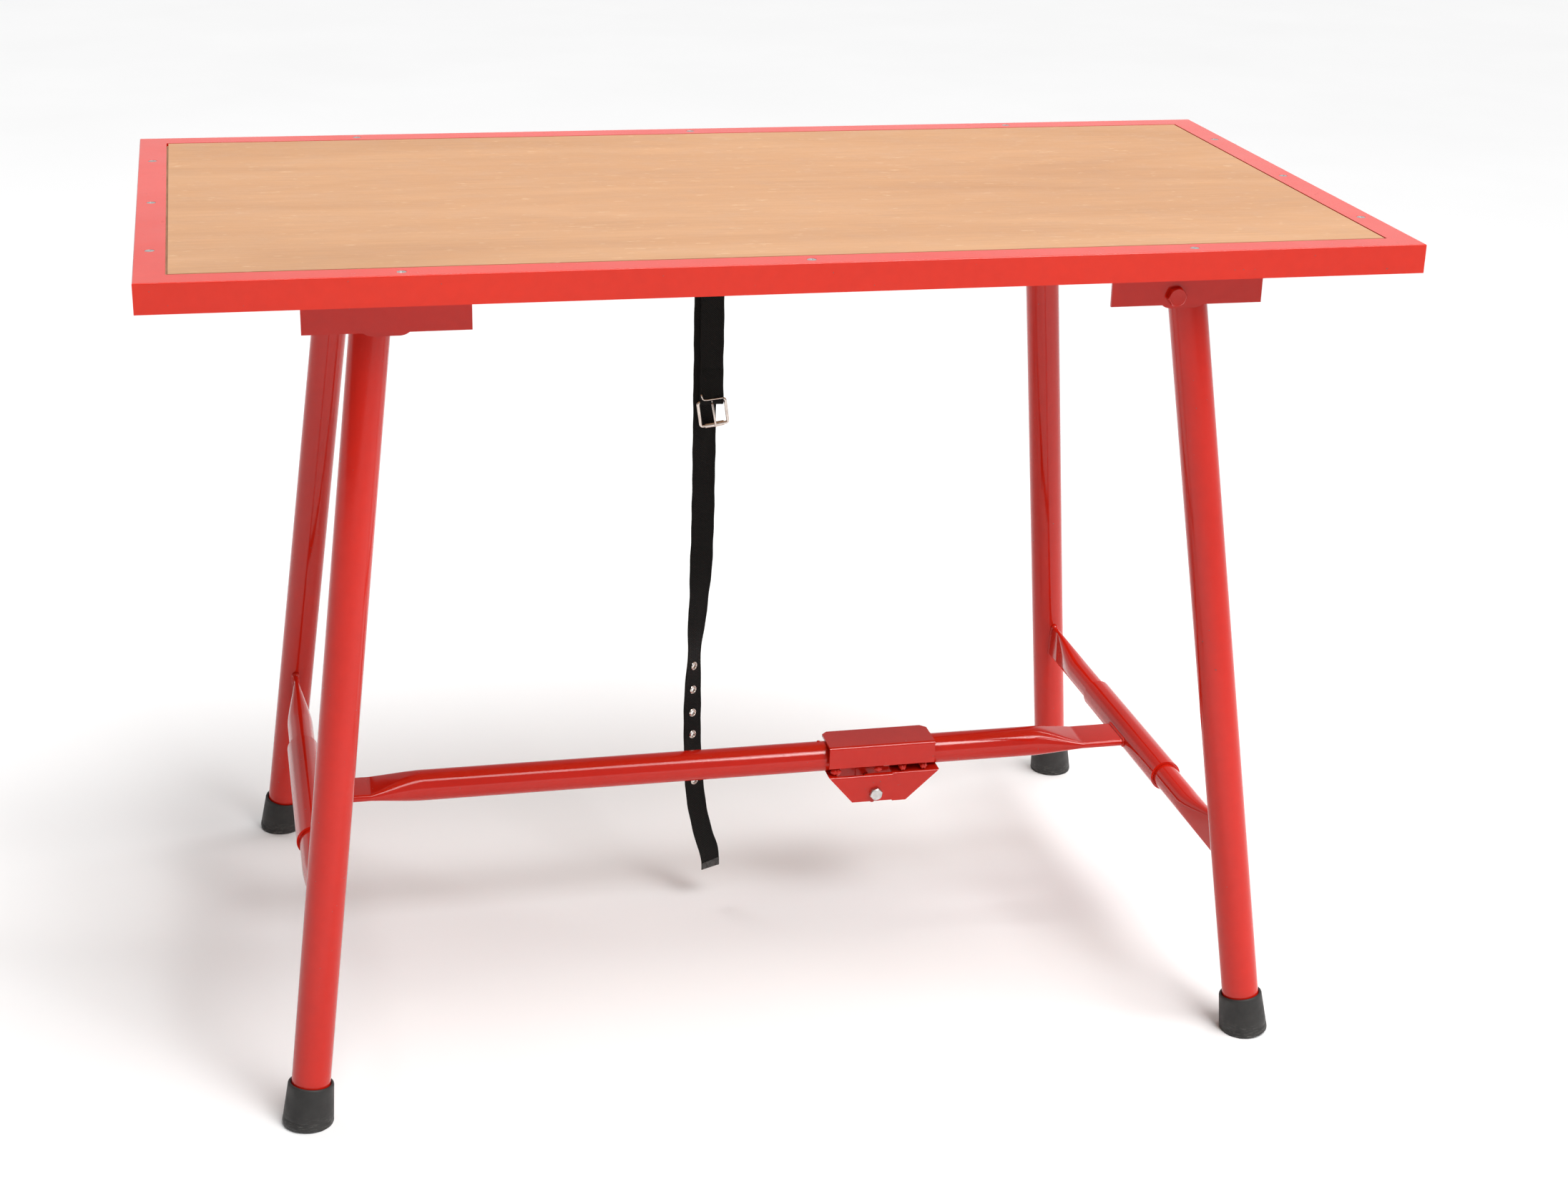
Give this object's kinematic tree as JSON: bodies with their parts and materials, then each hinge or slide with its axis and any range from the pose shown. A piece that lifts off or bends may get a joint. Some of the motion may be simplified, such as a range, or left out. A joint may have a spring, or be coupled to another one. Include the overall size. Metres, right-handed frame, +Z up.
{
  "type": "folding work table",
  "caption": "Rectangular wood-faced table top in a steel rim on splayed folding tube legs with crossbars and a hinged stretcher.",
  "frame": {"origin": "on the floor, under the middle of the top", "axes": "+X along the long side of the top, +Y from front to rear, +Z up"},
  "size_m": [1.2, 0.7026, 0.84],
  "materials": {
    "rim_paint": "gloss red enamel",
    "frame_paint": "gloss red enamel",
    "wood_panel": "light veneer, satin",
    "core_plywood": "raw plywood",
    "foot_rubber": "matte black rubber",
    "webbing": "woven black webbing",
    "nickel": "nickel plated",
    "zinc_steel": "zinc plated"
  },
  "bodies": {
    "top": {"bracket_screws": "zinc_steel", "buckle_frame": "nickel", "buckle_prong": "nickel", "buckle_roller": "nickel", "core_board": "core_plywood", "left_front_bracket": "frame_paint", "left_pivot_bolts": "frame_paint", "left_pivot_nuts": "frame_paint", "left_pivot_spacers": "frame_paint", "left_rear_bracket": "frame_paint", "right_front_bracket": "frame_paint", "right_pivot_bolts": "frame_paint", "right_pivot_nuts": "frame_paint", "right_pivot_spacers": "frame_paint", "right_rear_bracket": "frame_paint", "rim_front": "rim_paint", "rim_left": "rim_paint", "rim_rear": "rim_paint", "rim_right": "rim_paint", "rim_screws": "zinc_steel", "strap_clamp": "zinc_steel", "strap_clamp_screws": "zinc_steel", "strap_eyelets": "nickel", "strap_long": "webbing", "strap_short": "webbing", "work_panel": "wood_panel"},
    "left_legs": {"left_crossbar": "frame_paint", "left_front_ear": "frame_paint", "left_front_foot": "foot_rubber", "left_front_leg": "frame_paint", "left_rear_ear": "frame_paint", "left_rear_foot": "foot_rubber", "left_rear_leg": "frame_paint"},
    "right_legs": {"right_crossbar": "frame_paint", "right_front_ear": "frame_paint", "right_front_foot": "foot_rubber", "right_front_leg": "frame_paint", "right_rear_ear": "frame_paint", "right_rear_foot": "foot_rubber", "right_rear_leg": "frame_paint"},
    "left_brace": {"left_sleeve": "frame_paint", "left_stretcher": "frame_paint", "outer_channel": "frame_paint", "joint_bolt": "zinc_steel", "joint_nut": "zinc_steel"},
    "right_brace": {"right_sleeve": "frame_paint", "right_stretcher": "frame_paint", "inner_channel": "frame_paint", "hinge_cover": "frame_paint"}
  },
  "joints": [
    {"name": "left_legs_fold", "type": "hinge", "parent": "top", "child": "left_legs", "pos_m": [-0.37, 0, 0.784], "axis": [0, -1, 0], "range_deg": [0, 98.5], "deforming": ["strap_long", "strap_short", "strap_eyelets", "buckle_frame", "buckle_roller", "buckle_prong"]},
    {"name": "right_legs_fold", "type": "hinge", "parent": "top", "child": "right_legs", "pos_m": [0.37, 0, 0.784], "axis": [0, 1, 0], "range_deg": [0, 88.5], "deforming": ["strap_long", "strap_short", "strap_eyelets", "buckle_frame", "buckle_roller", "buckle_prong"]},
    {"name": "left_brace_swing", "type": "hinge", "parent": "left_legs", "child": "left_brace", "pos_m": [-0.46479, 0, 0.197], "axis": [0, 1, 0], "range_deg": [0, 280]},
    {"name": "right_brace_swing", "type": "hinge", "parent": "right_legs", "child": "right_brace", "pos_m": [0.46479, 0, 0.197], "axis": [0, 1, 0], "range_deg": [0, 92]}
  ],
  "couplings": [
    {"joint": "left_brace_swing", "follows": "left_legs_fold", "ratio": 2.805},
    {"joint": "right_brace_swing", "follows": "right_legs_fold", "ratio": 1.02}
  ]
}
